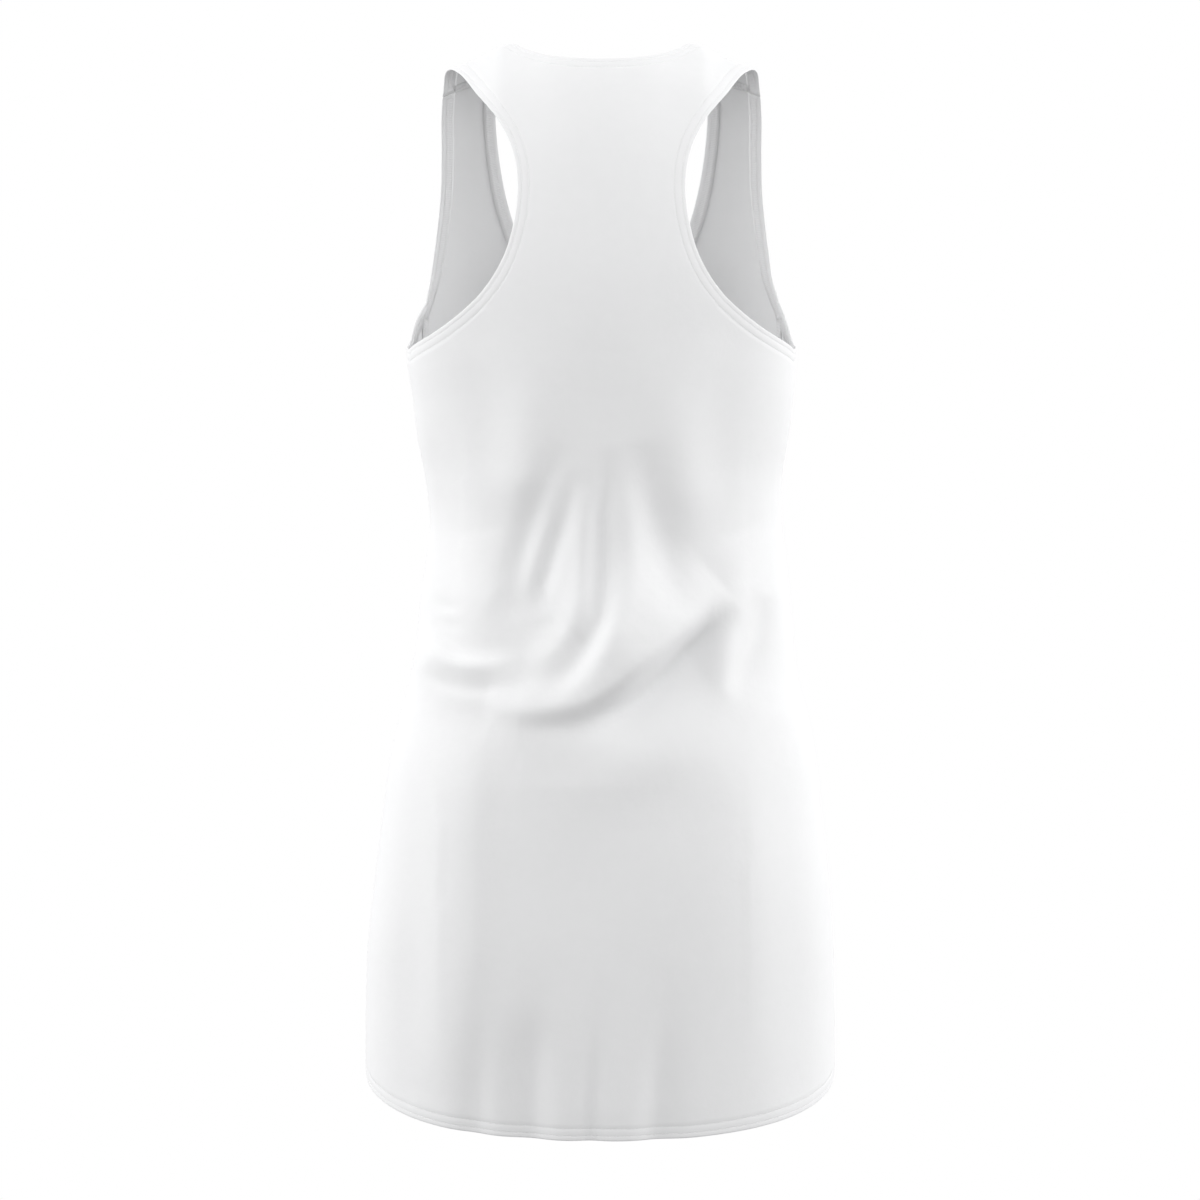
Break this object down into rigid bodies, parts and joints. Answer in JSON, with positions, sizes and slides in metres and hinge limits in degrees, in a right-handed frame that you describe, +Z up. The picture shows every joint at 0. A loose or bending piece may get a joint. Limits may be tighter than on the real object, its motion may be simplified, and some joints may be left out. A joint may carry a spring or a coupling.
{
  "type": "racerback dress",
  "caption": "Sleeveless racerback dress with a scoop front neck, wide shoulder straps, shaped waist and curved hem, standing out as when worn.",
  "frame": {"origin": "midway between the tops of the two shoulder straps, at the height of the highest point of the back neck edge", "axes": "+X to the wearer's left, -Y out of the front of the dress and +Y out of its back, +Z up"},
  "size_m": [0.3664, 0.2378, 0.843],
  "materials": {
    "knit": "matt white jersey knit",
    "turned_knit": "inside of the same knit, turned in and stitched"
  },
  "bodies": {
    "root": {"back_panel": "knit", "front_panel": "knit", "armhole_hem_back_left": "turned_knit", "armhole_hem_back_right": "turned_knit", "armhole_hem_front_left": "turned_knit", "armhole_hem_front_right": "turned_knit", "bottom_hem_back": "turned_knit", "bottom_hem_front": "turned_knit", "neck_hem_back": "turned_knit", "neck_hem_front": "turned_knit", "side_seam_left": "turned_knit", "side_seam_right": "turned_knit"}
  },
  "joints": []
}
